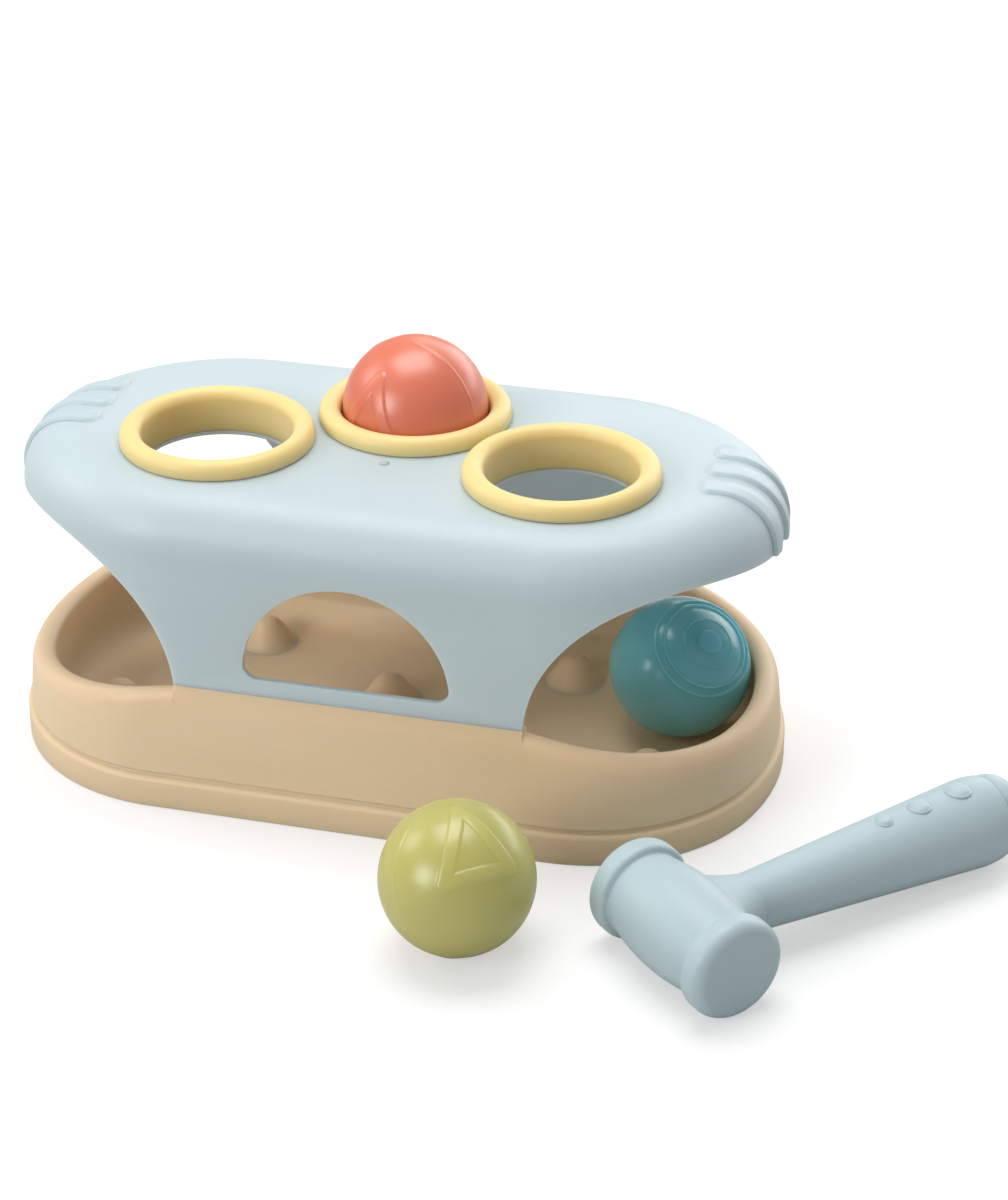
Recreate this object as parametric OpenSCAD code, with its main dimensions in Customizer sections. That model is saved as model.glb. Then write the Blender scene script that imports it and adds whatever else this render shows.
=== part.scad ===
// Pounding bench: an arched bench top on a trough tray, three soft rings, three hollow balls and a hammer.
// Millimetres, +Z up. The origin is on the ground under the middle of the bench, +X along its length.

/* [Balls] */
// Diameter of each ball
ball_d = 50; // [46:1:54]
// Wall of each hollow ball
ball_wall = 2; // [1.5:0.1:3]
// Height of the resting ball's centre above the top face
ball_seat_h = 3.5; // [2:0.1:7]

/* [Bench top] */
// Length of the bench top
top_len = 260; // [240:1:290]
// Width of the bench top, leg face to leg face
top_w = 132; // [126:1:144]
// Height of the top face above the ground
top_h = 110.2; // [104:0.1:120]
// Radius of the rounded top edge
edge_r = 18.2; // [14:0.1:20]
// Wall of the bench top
shell_t = 2; // [1.6:0.1:3]
// Straight stretch of the bench top's long sides
top_straight = 120; // [108:1:128]
// Half angle of the arc at the bench top's tip
top_tip_angle = 28; // [22:1:36]

/* [Legs] */
// Width of each leg at its foot
leg_w = 117.8; // [108:0.1:124]
// Radius of the arch between a leg and the tip
arch_r = 52.4; // [48:0.1:57]
// Depth of the arch's crown below the top face
arch_drop = 16.9; // [14:0.1:20]
// Radius of the round-topped window in the front leg
window_r = 35; // [28:1:37]
// Height of the sill under the window
sill_h = 6.1; // [4:0.1:9]
// Radius of the window's lower corners
window_corner_r = 5; // [3:0.5:7]

/* [Finger ribs] */
// Width of each rib
rib_w = 9; // [6:0.1:11]
// Distance between neighbouring ribs
rib_pitch = 12.7; // [11:0.1:15]
// Height of the ribs above the surface
rib_h = 1.2; // [0.6:0.1:1.5]
// Reach of the ribs inwards from the tip
rib_len = 25; // [22:0.5:30]

/* [Rings] */
// Radial gap between a ball and its ring
ring_gap = 0.3; // [0.3:0.1:0.8]
// Radius of the ring's round bead
bead_r = 3.6; // [3:0.1:4.2]
// Height of the bead above the top face
bead_h = 7; // [5.5:0.1:8.5]
// Wall of the ring's sleeve
sleeve_t = 2.6; // [2:0.1:3]
// Depth of the sleeve below the top face
sleeve_depth = 9.2; // [6:0.1:12]
// Gap between neighbouring beads
ring_spacing = 2.8; // [1:0.1:5]
// Step across the bench from the outer rings to the middle one
ring_stagger = 33.7; // [26:0.1:40]
// Place of the middle ring behind the bench's middle line
ring_mid_y = 19.8; // [14:0.1:22]

/* [Tray] */
// Length of the tray over its plinth
tray_len = 265.2; // [250:0.1:290]
// How far the plinth stands out beyond the leg faces
tray_flare = 5.8; // [4:0.1:8]
// Height of the plinth
plinth_h = 11; // [8:0.5:14]
// Height of the ledge that the legs stand on
ledge_h = 44.9; // [40:0.1:48]
// Height of the rim beside the legs
rim_side_h = 43.3; // [38:0.1:44]
// Height of the rim at the tray's ends
rim_end_h = 31; // [28:0.1:36]
// Distance of the tray's inner wall from the plinth's face
tray_wall = 11; // [10:0.1:12.5]
// Thickness of the tray's skin
skin_t = 2.2; // [1.8:0.1:2.4]
// Thickness of the tray's floor
floor_t = 4; // [3:0.5:5]
// Radius of the hollow between floor and wall
floor_fillet_r = 12; // [9:0.5:14]

/* [Bumps] */
// Height of the bumps on the tray's floor
bump_h = 9.5; // [7:0.5:11]
// Radius of a bump at its foot
bump_r = 11; // [8:0.5:12]

/* [Hammer] */
// Radius of the striking flanges
flange_r = 16.6; // [15:0.1:19]
// Length of the head, face to face
head_len = 59; // [54:1:66]
// Thickness of a striking flange
flange_t = 9; // [8:0.5:11]
// Radius of the grip's neck
neck_r = 9.4; // [8.5:0.1:10.5]
// Largest radius of the grip
grip_r = 14.8; // [12.5:0.1:15]
// Distance from the head's middle to the end of the grip
hammer_reach = 131; // [115:1:150]

/* [Hidden] */
$fn = 72;

blue = [0.68, 0.78, 0.82];
beige = [0.84, 0.72, 0.56];
yellow = [0.91, 0.82, 0.55];
coral = [0.81, 0.42, 0.32];
teal = [0.27, 0.48, 0.51];
green = [0.66, 0.66, 0.36];

// One overrun for cuts, and one clearance for pieces that plug into each other
over = 1;
fit_gap = 0.15;
// Air under a resting ball
rest_gap = 0.3;

// Bench top
top_a = top_len / 2;
top_b = top_w / 2;
top_c = top_straight / 2;
plate_band = rib_len + over;
plate_lap = (plate_band - edge_r) / 2;
plate_tip_share = 0.8;
dot_r = 1.6;
dot_h = 0.5;
dot_gap = 5;
round_steps = 10;
tongue_w = 16;
tongue_t = shell_t / 2;
tongue_len = 6;
tongue_x_share = 0.78;

// Rings and sockets
ball_r = ball_d / 2;
ring_bore_r = ball_r + ring_gap;
sleeve_ease = 0.3;
sleeve_ir = ring_bore_r + sleeve_ease;
sleeve_or = sleeve_ir + sleeve_t;
bead_c = ring_bore_r + bead_r;
bead_or = ring_bore_r + 2 * bead_r;
bead_z = top_h + bead_h - bead_r;
socket_t = 2.2;
lip_t = 1.6;
socket_or = sleeve_or + fit_gap + socket_t;
lip_z = top_h - sleeve_depth;
ring_pitch = 2 * bead_or + ring_spacing;
ring_dx = sqrt(pow(ring_pitch, 2) - pow(ring_stagger, 2));
left_place = [-ring_dx, ring_mid_y - ring_stagger];
middle_place = [0, ring_mid_y];
right_place = [ring_dx, ring_mid_y - ring_stagger];
ring_places = [left_place, middle_place, right_place];

// Arch and window
arch_z = top_h - arch_drop - arch_r;
arch_x = leg_w / 2 + sqrt(pow(arch_r, 2) - pow(arch_z - ledge_h, 2));
window_z = ledge_h + sill_h;
window_rise = 1.5;
corner_z = window_corner_r - window_rise;
corner_x = sqrt(pow(window_r - window_corner_r, 2) - pow(corner_z, 2));
corner_angle = atan2(corner_z, corner_x);
window_steps = 28;
corner_steps = 6;

// Tray
tray_a = tray_len / 2;
tray_b = top_b + tray_flare;
tray_lead = 9.1;
tray_c = leg_w / 2 + tray_lead;
tray_tip_angle = 18.6;
ledge_step = 0.05;
foot_r = 0.6;
plinth_r = 1.5;
plinth_steps = 3;
groove_d = 2.2;
groove_h = 2;
groove_half_share = 0.55;
wall_d0 = 1.5;
wall_z0 = plinth_h + groove_h;
bow_share = 0.39;
wall_steps = 4;
rim_steps = 4;
rim_inner_r = 3;
rim_outer_r = 5.5;
ledge_round = 0.4;
ledge_inner_r = 2;
crest_flat = 0.5;
wall_draft_share = 0.05;
fillet_steps = 4;
hollow_top = 9;
hollow_foot = 2.8;
arc_steps = 10;
tip_steps = 4;
leg_half = leg_w / 2 + fit_gap;
crest_d = tray_wall - rim_inner_r;
// Bump places as shares of the tray's half length and half width
bump_shares = [[-0.743, -0.237], [-0.452, 0.404], [-0.063, 0.15], [0.392, 0.404], [0.682, -0.237]];
bump_tip_r = 6.5;
bump_steps = 8;

// Hammer, laid on the ground
hammer_x = 123.2;
hammer_y = -118.9;
hammer_turn = -44.2;
face_round = 4;
back_round = 1.8;
barrel_step = 2.7;
barrel_ease = 0.1;
barrel_end_r = flange_r - barrel_step;
barrel_mid_r = flange_r - barrel_ease;
barrel_steps = 8;
saddle_r = 14.2;
saddle_foot = 9;
saddle_end = 25;
saddle_steps = 8;
spigot_r = 6;
spigot_foot = 4;
cap_len = 12;
cap_plug_r = 8.5;
cap_plug_len = 7;
cap_round_len = 9;
grip_round_len = 7;
grip_round_drop = 0.5;
cap_gap_r = 0.7;
cap_steps = 8;
grip_full = hammer_reach - cap_len - grip_round_len;
hammer_tip = asin((flange_r - grip_r - rest_gap) / grip_full);
// Grip dots: place along the grip as a share of the reach, and radius as a share of the grip's radius
grip_dot_shares = [[0.584, 0.19], [0.692, 0.255], [0.812, 0.29]];
grip_dot_h = 0.6;

// Loose balls: the teal one lies in the tray, placed by a share of its half width, the green one in front
teal_y_share = 0.202;
green_x = 53;
green_y = -123;

// Points of an arc about c, from angle a0 to a1
function arc(c, r, a0, a1, n) =
    [for (i = [0 : n]) let (t = a0 + (a1 - a0) * i / n) [c[0] + r * cos(t), c[1] + r * sin(t)]];

// Oval of two arc radii: half length a, half width b, half straight c, tip half angle f
function oval_step(a, b, c, f) = (a - c - b) / (sin(f) + cos(f) - 1);
function oval_side_r(a, b, c, f) = b + oval_step(a, b, c, f) * sin(f);
function oval_tip_r(a, b, c, f) = a - c - oval_step(a, b, c, f) * cos(f);

// Stations of an oval's first quarter, from the middle of its side to its tip: [x, y, normal x, normal y]
function oval_arcs(a, b, c, f, side_n, tip_n) =
    let (side_r = oval_side_r(a, b, c, f), tip_r = oval_tip_r(a, b, c, f))
    concat(
        [for (i = [0 : side_n]) let (t = 90 - (90 - f) * i / side_n)
            [c + side_r * cos(t), b - side_r + side_r * sin(t), cos(t), sin(t)]],
        [for (i = [1 : tip_n]) let (t = f - f * i / tip_n)
            [a - tip_r + tip_r * cos(t), tip_r * sin(t), cos(t), sin(t)]]);

// A whole ring of stations from a first quarter that starts on the Y axis and ends on the X axis
function whole(q) = let (n = len(q)) concat(
    [for (i = [0 : n - 1]) q[i]],
    [for (i = [n - 2 : -1 : 0]) [q[i][0], -q[i][1], q[i][2], -q[i][3]]],
    [for (i = [1 : n - 1]) [-q[i][0], -q[i][1], -q[i][2], -q[i][3]]],
    [for (i = [n - 2 : -1 : 1]) [-q[i][0], q[i][1], -q[i][2], q[i][3]]]);

// Carries a section round an oval: x is the distance outwards from the oval, y is the height
module sweep_oval(a, b, c, f) {
    side_r = oval_side_r(a, b, c, f);
    tip_r = oval_tip_r(a, b, c, f);
    for (m = [0, 1]) mirror([0, m, 0])
        translate([-c, b, 0]) rotate([90, 0, 90]) linear_extrude(2 * c) children();
    for (m = [0, 1], n = [0, 1]) mirror([m, 0, 0]) mirror([0, n, 0]) {
        translate([c, b - side_r, 0]) rotate([0, 0, f])
            rotate_extrude(angle = 90 - f) translate([side_r, 0]) children();
        translate([a - tip_r, 0, 0]) rotate_extrude(angle = f) translate([tip_r, 0]) children();
    }
}

// Section of the bench top's wall, round edge and the outer band of its plate
module shell_section() {
    c = [-edge_r, top_h - edge_r];
    polygon(concat(
        [[0, ledge_h]],
        arc(c, edge_r, 0, 90, round_steps),
        [[-plate_band, top_h], [-plate_band, top_h - shell_t]],
        arc(c, edge_r - shell_t, 90, 0, round_steps),
        [[-shell_t, ledge_h]]));
}

// Section of the skin that the finger ribs are cut from
module rib_section() {
    c = [-edge_r, top_h - edge_r];
    polygon(concat(
        [[rib_h, arch_z]],
        arc(c, edge_r + rib_h, 0, 90, round_steps),
        [[-plate_band, top_h + rib_h], [-plate_band, top_h - shell_t / 2]],
        arc(c, edge_r - shell_t / 2, 90, 0, round_steps),
        [[-shell_t / 2, arch_z]]));
}

// Middle of the top plate, lapping under the swept band
module top_plate() {
    inset = edge_r + plate_lap;
    stations = whole(oval_arcs(top_a, top_b, top_c, plate_tip_share * top_tip_angle, arc_steps, tip_steps));
    translate([0, 0, top_h - shell_t]) linear_extrude(shell_t)
        polygon([for (s = stations) [s[0] - inset * s[2], s[1] - inset * s[3]]]);
}

module finger_ribs() {
    start = top_a - rib_len + rib_w / 2;
    intersection() {
        sweep_oval(top_a, top_b, top_c, top_tip_angle) rib_section();
        for (m = [0, 1], i = [-1 : 1])
            mirror([m, 0, 0]) translate([start, i * rib_pitch + rib_w / 2, arch_z]) {
                cylinder(r = rib_w / 2, h = top_h);
                translate([0, -rib_w / 2, 0]) cube([rib_len, rib_w, top_h]);
            }
    }
}

// Round arches through both ends and the round-topped window through the front leg
module leg_cuts() {
    for (m = [0, 1]) mirror([m, 0, 0])
        translate([arch_x, 0, arch_z]) rotate([90, 0, 0])
            cylinder(r = arch_r, h = top_w + 2 * over, center = true);
    c = [corner_x, corner_z];
    rotate([90, 0, 0]) translate([0, window_z + window_rise, 0]) linear_extrude(top_b + over)
        polygon(concat(
            arc(c, window_corner_r, -90, corner_angle, corner_steps),
            [for (i = [1 : window_steps - 1])
                let (t = corner_angle + (180 - 2 * corner_angle) * i / window_steps)
                [window_r * cos(t), window_r * sin(t)]],
            arc([-c[0], c[1]], window_corner_r, 180 - corner_angle, 270, corner_steps)));
}

// Tongues under the legs, grown by gap for the slots that take them
module tongues(gap) {
    for (sx = [-1, 1], sy = [-1, 1])
        translate([sx * tongue_x_share * leg_w / 2 - tongue_w / 2 - gap,
                   sy * (top_b - shell_t + tongue_t / 2) - tongue_t / 2 - gap, ledge_h - tongue_len - gap])
            cube([tongue_w + 2 * gap, tongue_t + 2 * gap, tongue_len + gap + over]);
}

module bench_top() {
    color(blue) difference() {
        union() {
            difference() {
                union() {
                    sweep_oval(top_a, top_b, top_c, top_tip_angle) shell_section();
                    top_plate();
                    finger_ribs();
                }
                leg_cuts();
            }
            for (p = ring_places) translate([p[0], p[1], lip_z - lip_t])
                cylinder(r = socket_or, h = top_h - lip_z + lip_t - shell_t / 2);
            translate([0, ring_mid_y - bead_or - dot_gap, top_h - shell_t / 2])
                cylinder(r = dot_r, h = dot_h + shell_t / 2);
            tongues(0);
        }
        for (p = ring_places) translate([p[0], p[1], lip_z]) {
            cylinder(r = sleeve_or + fit_gap, h = sleeve_depth + over);
            translate([0, 0, -lip_t - over]) cylinder(r = sleeve_ir + fit_gap, h = lip_t + 2 * over);
        }
    }
}

// Soft ring: a round bead on the top face and a sleeve down its socket
module ring(place) {
    color(yellow) translate([place[0], place[1], 0]) rotate_extrude() difference() {
        union() {
            translate([bead_c, bead_z]) circle(r = bead_r);
            translate([ring_bore_r, top_h]) square([2 * bead_r, bead_z - top_h]);
            translate([sleeve_ir, lip_z]) square([sleeve_t, sleeve_depth]);
        }
        translate([sleeve_or, lip_z]) square([2 * bead_r, sleeve_depth]);
    }
}

module ring_left() { ring(left_place); }
module ring_middle() { ring(middle_place); }
module ring_right() { ring(right_place); }

module ball(place) {
    translate(place) difference() {
        sphere(r = ball_r);
        sphere(r = ball_r - ball_wall);
    }
}

module ball_coral() { color(coral) ball([0, ring_mid_y, top_h + ball_seat_h]); }
module ball_teal() {
    tip_r = oval_tip_r(tray_a, tray_b, tray_c, tray_tip_angle);
    reach = tip_r - tray_wall - rest_gap - ball_r;
    teal_y = teal_y_share * tray_b;
    teal_x = tray_a - tip_r + sqrt(pow(reach, 2) - pow(teal_y, 2));
    color(teal) ball([teal_x, teal_y, floor_t + rest_gap + ball_r]);
}
module ball_green() { color(green) ball([green_x, green_y, ball_r]); }

// Distance of the tray's outer wall from the plinth's face at height z: upright at its foot, leaning in above
function wall_d(z) = let (t = (z - wall_z0) / (ledge_h - wall_z0))
    wall_d0 + (tray_flare - wall_d0) * (bow_share * t + (1 - bow_share) * t * t);

// Height of the rim at a station of the tray's oval: the legs' ledge, then a fall towards the ends
function on_ledge(s) = abs(s[0]) < leg_half;
function rim_h(s) = on_ledge(s) ? ledge_h
    : let (t = (abs(s[0] - crest_d * s[2]) - leg_half) / (tray_a - crest_d - leg_half))
        rim_side_h - (rim_side_h - rim_end_h) * t;

// Section of the tray at a station: [distance inwards from the plinth's face, height], from the middle of the
// underside, round the hollow wall, up the outside, over the rim and down to the middle of the floor
function tray_section(s) = let (
        h = rim_h(s),
        r_out = on_ledge(s) ? ledge_round : rim_outer_r,
        d_in = tray_wall,
        r_in = on_ledge(s) ? ledge_inner_r : rim_inner_r,
        d_crest = on_ledge(s) ? tray_flare + ledge_round : crest_d - crest_flat,
        z_out = h - r_out,
        d_out = wall_d(z_out),
        z_fill = floor_t + floor_fillet_r,
        d_fill = d_in + wall_draft_share * (h - r_in - z_fill))
    concat(
        [[d_in, 0], [d_in - skin_t, h - hollow_top], [wall_d(h - hollow_top) + skin_t, h - hollow_top],
         [hollow_foot, 0], [foot_r, 0], [0, foot_r]],
        arc([plinth_r, plinth_h - plinth_r], plinth_r, 180, 90, plinth_steps),
        [[groove_d, plinth_h + groove_h * (1 - groove_half_share)],
         [groove_d, plinth_h + groove_h * groove_half_share]],
        [for (i = [0 : wall_steps - 1])
            let (z = wall_z0 + (z_out - wall_z0) * i / wall_steps) [wall_d(z), z]],
        [for (i = [0 : rim_steps]) let (t = 90 * i / rim_steps)
            [d_out + (d_crest - d_out) * (1 - cos(t)), z_out + r_out * sin(t)]],
        [for (i = [0 : rim_steps]) let (t = 90 - 90 * i / rim_steps)
            [d_in - r_in + r_in * cos(t), h - r_in + r_in * sin(t)]],
        [for (i = [0 : fillet_steps]) let (t = 180 + 90 * i / fillet_steps)
            [d_fill + floor_fillet_r + floor_fillet_r * cos(t), z_fill + floor_fillet_r * sin(t)]]);

// Closed skin through a section at every station; its two flat faces start at the station called first
module skin(stations, sections, first) {
    n = len(stations);
    m = len(sections[0]);
    points = [for (i = [0 : n - 1], p = sections[i]) let (s = stations[i])
        [s[0] - p[0] * s[2], s[1] - p[0] * s[3], p[1]]];
    sides = [for (i = [0 : n - 1], j = [0 : m - 2])
        let (a = i * m + j, b = ((i + 1) % n) * m + j) each [[a, b, b + 1], [a, b + 1, a + 1]]];
    floor_face = [for (i = [0 : n - 1]) ((i + first) % n) * m + m - 1];
    under_face = [for (i = [n : -1 : 1]) ((i + first) % n) * m];
    polyhedron(points, concat(sides, [floor_face, under_face]));
}

// Bump: a cone with hollow flanks and a round tip
module bump() {
    rise = bump_h - bump_tip_r;
    rotate_extrude() polygon(concat(
        [[0, -floor_t / 2], [bump_r, -floor_t / 2]],
        [for (i = [0 : bump_steps - 1]) let (t = i / bump_steps)
            [bump_tip_r + (bump_r - bump_tip_r) * (1 - t) * (1 - t), rise * t]],
        arc([0, rise], bump_tip_r, 0, 90, bump_steps)));
}

module tray() {
    quarter = concat(
        [[0, tray_b, 0, 1], [leg_half - ledge_step, tray_b, 0, 1], [leg_half + ledge_step, tray_b, 0, 1]],
        oval_arcs(tray_a, tray_b, tray_c, tray_tip_angle, arc_steps, tip_steps));
    stations = whole(quarter);
    color(beige) difference() {
        union() {
            skin(stations, [for (s = stations) tray_section(s)], len(quarter) - 1);
            for (p = bump_shares) translate([p[0] * tray_a, p[1] * tray_b, floor_t]) bump();
        }
        tongues(fit_gap);
    }
}

// Places a hammer piece: X along the head, Y along the grip
module laid() {
    translate([hammer_x, hammer_y, flange_r]) rotate([0, 0, hammer_turn])
        rotate([-hammer_tip, 0, 0]) children();
}

// Turns a profile of [radius, distance] about the grip's axis
module turned_grip(profile) {
    rotate([-90, 0, 0]) rotate_extrude() polygon(profile);
}

module hammer_head() {
    half = head_len / 2;
    step = half - flange_t;
    side = concat(
        [for (i = [0 : barrel_steps]) let (t = i / barrel_steps)
            [barrel_mid_r - (barrel_mid_r - barrel_end_r) * t * t, step * t]],
        arc([flange_r - back_round, step + back_round], back_round, -90, 0, corner_steps),
        arc([flange_r - face_round, half - face_round], face_round, 0, 90, corner_steps),
        [[0, half]]);
    last = len(side) - 1;
    color(blue) laid() difference() {
        union() {
            rotate([0, 90, 0]) rotate_extrude()
                polygon(concat([for (i = [last : -1 : 1]) [side[i][0], -side[i][1]]], side));
            turned_grip(concat(
                [[0, saddle_foot]],
                [for (i = [0 : saddle_steps]) let (t = i / saddle_steps)
                    [neck_r + (saddle_r - neck_r) * (1 - t) * (1 - t),
                     saddle_foot + (saddle_end - saddle_foot) * t]],
                [[0, saddle_end]]));
        }
        turned_grip([[0, spigot_foot - fit_gap], [spigot_r + fit_gap, spigot_foot - fit_gap],
                     [spigot_r + fit_gap, saddle_end + over], [0, saddle_end + over]]);
    }
}

// Radius of the grip at a distance from the head's middle
function grip_at(y) = neck_r + (grip_r - neck_r) * (y - saddle_end) / (grip_full - saddle_end);

module hammer_handle() {
    grip_end = hammer_reach - cap_len;
    plug_foot = grip_end - cap_plug_len - fit_gap;
    color(blue) laid() difference() {
        union() {
            turned_grip(concat(
                [[0, spigot_foot], [spigot_r, spigot_foot], [spigot_r, saddle_end], [neck_r, saddle_end]],
                [[grip_r, grip_full]],
                [for (i = [1 : cap_steps]) let (t = i / cap_steps)
                    [grip_r - grip_round_drop * t * t, grip_full + (grip_round_len - cap_gap_r) * t]],
                [[grip_r - grip_round_drop - cap_gap_r, grip_end], [0, grip_end]]));
            for (d = grip_dot_shares) translate([0, d[0] * hammer_reach, 0])
                cylinder(r = d[1] * grip_r, h = grip_at(d[0] * hammer_reach) + grip_dot_h);
        }
        turned_grip([[0, plug_foot], [cap_plug_r + fit_gap, plug_foot],
                     [cap_plug_r + fit_gap, grip_end + over], [0, grip_end + over]]);
    }
}

module hammer_end_cap() {
    grip_end = hammer_reach - cap_len;
    cap_r = grip_r - grip_round_drop - cap_gap_r;
    color(blue) laid() turned_grip(concat(
        [[0, grip_end - cap_plug_len], [cap_plug_r, grip_end - cap_plug_len], [cap_plug_r, grip_end],
         [cap_r, grip_end]],
        [for (i = [0 : cap_steps]) let (t = 90 * i / cap_steps)
            [cap_r * cos(t), grip_end + cap_len - cap_round_len + cap_round_len * sin(t)]]));
}

tray();
bench_top();
ring_left();
ring_middle();
ring_right();
ball_coral();
ball_teal();
ball_green();
hammer_head();
hammer_handle();
hammer_end_cap();
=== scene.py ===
import math

import bmesh
import bpy
import numpy as np
from mathutils import Matrix, Vector


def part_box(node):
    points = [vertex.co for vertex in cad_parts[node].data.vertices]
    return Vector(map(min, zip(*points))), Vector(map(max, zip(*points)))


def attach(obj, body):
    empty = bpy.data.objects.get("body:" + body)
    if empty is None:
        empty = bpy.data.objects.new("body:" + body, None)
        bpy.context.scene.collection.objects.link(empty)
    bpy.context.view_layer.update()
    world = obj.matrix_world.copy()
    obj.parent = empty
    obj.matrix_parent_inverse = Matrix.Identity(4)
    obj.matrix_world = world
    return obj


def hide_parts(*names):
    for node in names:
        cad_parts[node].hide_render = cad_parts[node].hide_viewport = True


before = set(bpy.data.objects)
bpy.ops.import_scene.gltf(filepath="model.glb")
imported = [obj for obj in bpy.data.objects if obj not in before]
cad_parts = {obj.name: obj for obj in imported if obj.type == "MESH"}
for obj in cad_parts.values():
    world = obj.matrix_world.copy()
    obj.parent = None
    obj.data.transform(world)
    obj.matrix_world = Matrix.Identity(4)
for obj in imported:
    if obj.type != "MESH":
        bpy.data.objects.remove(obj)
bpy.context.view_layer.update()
mm = 0.001
tiny = 1e-6
print("frame loaded")


# Sizes read from the frame, in millimetres
def nodeBox(node):
    low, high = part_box(node)
    return np.array(low) / mm, np.array(high) / mm


def nodeCentre(node):
    low, high = nodeBox(node)
    return (low + high) / 2


# Mesh helpers: every shape is worked out in millimetres and stored in metres
def arcPoints(centre, radius, start, end, steps):
    angles = np.radians(np.linspace(start, end, steps + 1))
    return [(centre[0] + radius * math.cos(t), centre[1] + radius * math.sin(t)) for t in angles]


def smoothStep(t):
    t = np.clip(t, 0, 1)
    return t * t * (3 - 2 * t)


def makeObject(name, verts, faces):
    mesh = bpy.data.meshes.new(name)
    mesh.from_pydata([Vector(v) * mm for v in verts], [], faces)
    mesh.update()
    obj = bpy.data.objects.new(name, mesh)
    bpy.context.scene.collection.objects.link(obj)
    return obj


def gridFaces(rows, columns, closeRows=False, closeColumns=False):
    faces = []
    for i in range(rows if closeRows else rows - 1):
        for j in range(columns if closeColumns else columns - 1):
            a, b = i, (i + 1) % rows
            c, d = j, (j + 1) % columns
            faces.append((a * columns + c, b * columns + c, b * columns + d, a * columns + d))
    return faces


def lathe(name, profile, steps, matrix=None):
    # profile: (radius, height) from one pole or edge to the other, turned about Z and then placed by matrix
    verts = []
    for i in range(steps):
        t = 2 * math.pi * i / steps
        verts += [Vector((r * math.cos(t), r * math.sin(t), h)) for r, h in profile]
    if matrix is not None:
        verts = [matrix @ v for v in verts]
    return weld(makeObject(name, verts, gridFaces(steps, len(profile), closeRows=True)))


def weld(obj, distance=0.002):
    bm = bmesh.new()
    bm.from_mesh(obj.data)
    bmesh.ops.remove_doubles(bm, verts=bm.verts, dist=distance * mm)
    bmesh.ops.dissolve_degenerate(bm, edges=bm.edges, dist=distance * mm)
    bmesh.ops.recalc_face_normals(bm, faces=bm.faces)
    bm.to_mesh(obj.data)
    bm.free()
    return obj


def joined(name, objects):
    # one object from several, with their modifiers worked in
    graph = bpy.context.evaluated_depsgraph_get()
    bm = bmesh.new()
    for obj in objects:
        mesh = bpy.data.meshes.new_from_object(obj.evaluated_get(graph))
        mesh.transform(obj.matrix_world)
        bm.from_mesh(mesh)
        bpy.data.meshes.remove(mesh)
        bpy.data.objects.remove(obj)
    mesh = bpy.data.meshes.new(name)
    bm.to_mesh(mesh)
    bm.free()
    obj = bpy.data.objects.new(name, mesh)
    bpy.context.scene.collection.objects.link(obj)
    return obj


def finishPiece(obj, node, body, material, sharpAngle):
    obj.data.materials.clear()
    obj.data.materials.append(material)
    obj.data.shade_smooth()
    obj.data.set_sharp_from_angle(angle=math.radians(sharpAngle))
    if node:
        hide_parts(node)
    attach(obj, body)
    return obj


# Material helpers
def colour(hexText):
    channels = [int(hexText[i : i + 2], 16) / 255 for i in (1, 3, 5)]
    return [c / 12.92 if c <= 0.04045 else ((c + 0.055) / 1.055) ** 2.4 for c in channels] + [1]


def addNode(tree, kind, inputs=None, **settings):
    node = tree.nodes.new(kind)
    for key, value in settings.items():
        setattr(node, key, value)
    for key, value in (inputs or {}).items():
        if isinstance(value, bpy.types.NodeSocket):
            tree.links.new(value, node.inputs[key])
        else:
            node.inputs[key].default_value = value
    return node


def newMaterial(name):
    material = bpy.data.materials.new(name)
    material.use_nodes = True
    tree = material.node_tree
    tree.nodes.clear()
    output = addNode(tree, "ShaderNodeOutputMaterial")
    shader = addNode(tree, "ShaderNodeBsdfPrincipled")
    tree.links.new(shader.outputs["BSDF"], output.inputs["Surface"])
    return material, tree, shader


def setSkin(shader, settings):
    # gloss of the skin, and the light that is carried below it
    shader.inputs["Roughness"].default_value = settings["roughness"]
    shader.inputs["Specular IOR Level"].default_value = settings["specular"]
    shader.inputs["Subsurface Weight"].default_value = settings["glow"]
    shader.inputs["Subsurface Radius"].default_value = settings["glowColour"]
    shader.inputs["Subsurface Scale"].default_value = settings["glowDepth"] * mm


plasticNoise = {"cloudDetail": 3.0, "streakDetail": 2.0, "streakShare": 0.5, "grainDetail": 2.0, "grainDepth": 0.05}


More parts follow.
